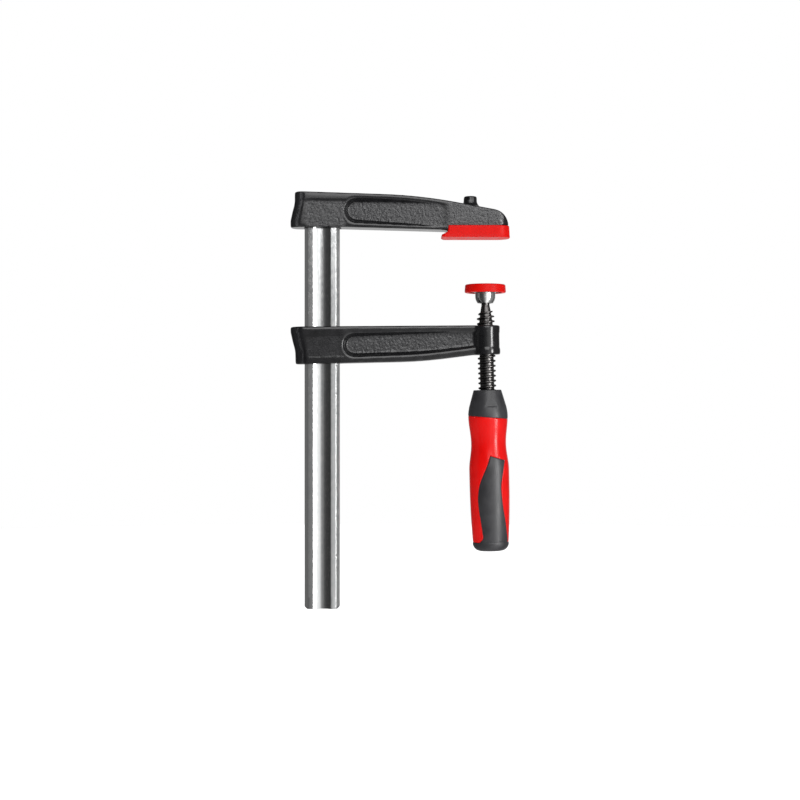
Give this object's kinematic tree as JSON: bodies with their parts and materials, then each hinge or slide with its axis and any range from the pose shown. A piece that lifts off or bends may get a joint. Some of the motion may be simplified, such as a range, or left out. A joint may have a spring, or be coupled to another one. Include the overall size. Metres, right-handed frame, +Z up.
{
  "type": "f clamp",
  "caption": "Screw clamp with a fixed arm on a grooved steel rail, a sliding arm, a threaded spindle, a swivelling pressure plate and a soft-grip handle.",
  "frame": {"origin": "centre of the fixed clamping face, on the clamping axis", "axes": "+Z runs up the rail from the sliding arm to the fixed arm, +X runs from the rail towards the jaws, -Y is the front"},
  "size_m": [0.1509, 0.0284, 0.2858],
  "materials": {
    "galvanised_steel": "zinc-plated drawn bar with faint lengthwise draw marks",
    "black_enamel": "gloss black enamel on cast iron, rough-cast inside the web pockets",
    "spindle_steel": "dark burnished rolled thread with a film of oil",
    "zinc_plate": "bright zinc plating",
    "spring_steel": "dull spring wire",
    "red_cap_plastic": "satin red moulded plastic",
    "red_handle_plastic": "gloss red moulded plastic",
    "soft_grip": "satin black thermoplastic rubber with a fine moulded grain"
  },
  "bodies": {
    "frame": {"rail": "galvanised_steel", "fixed_arm": "black_enamel", "fixed_jaw_cap": "red_cap_plastic"},
    "slider": {"sliding_arm": "black_enamel"},
    "screw_carriage": {"ball_snap_ring": "spring_steel"},
    "screw": {"spindle": "spindle_steel", "handle_core": "red_handle_plastic", "handle_collar": "soft_grip", "handle_grip": "soft_grip"},
    "plate": {"pressure_plate": "zinc_plate", "plate_cap": "red_cap_plastic"}
  },
  "joints": [
    {"name": "arm_slide", "type": "slide", "parent": "frame", "child": "slider", "axis": [0, 0, 1], "range_m": [-0.161, 0.0055]},
    {"name": "spindle_feed", "type": "slide", "parent": "slider", "child": "screw_carriage", "axis": [-0.0227, 0, 0.9997], "range_m": [-0.013, 0.0233]},
    {"name": "spindle_turn", "type": "hinge", "parent": "screw_carriage", "child": "screw", "pos_m": [0, 0, -0.04], "axis": [-0.0227, 0, 0.9997], "range_deg": [-1377, 2468]},
    {"name": "plate_tilt", "type": "hinge", "parent": "screw_carriage", "child": "plate", "pos_m": [0, 0, -0.04], "axis": [0, 1, 0], "range_deg": [-10, 10]}
  ],
  "couplings": [
    {"joint": "spindle_turn", "follows": "spindle_feed", "rad_per_m": 1848}
  ]
}
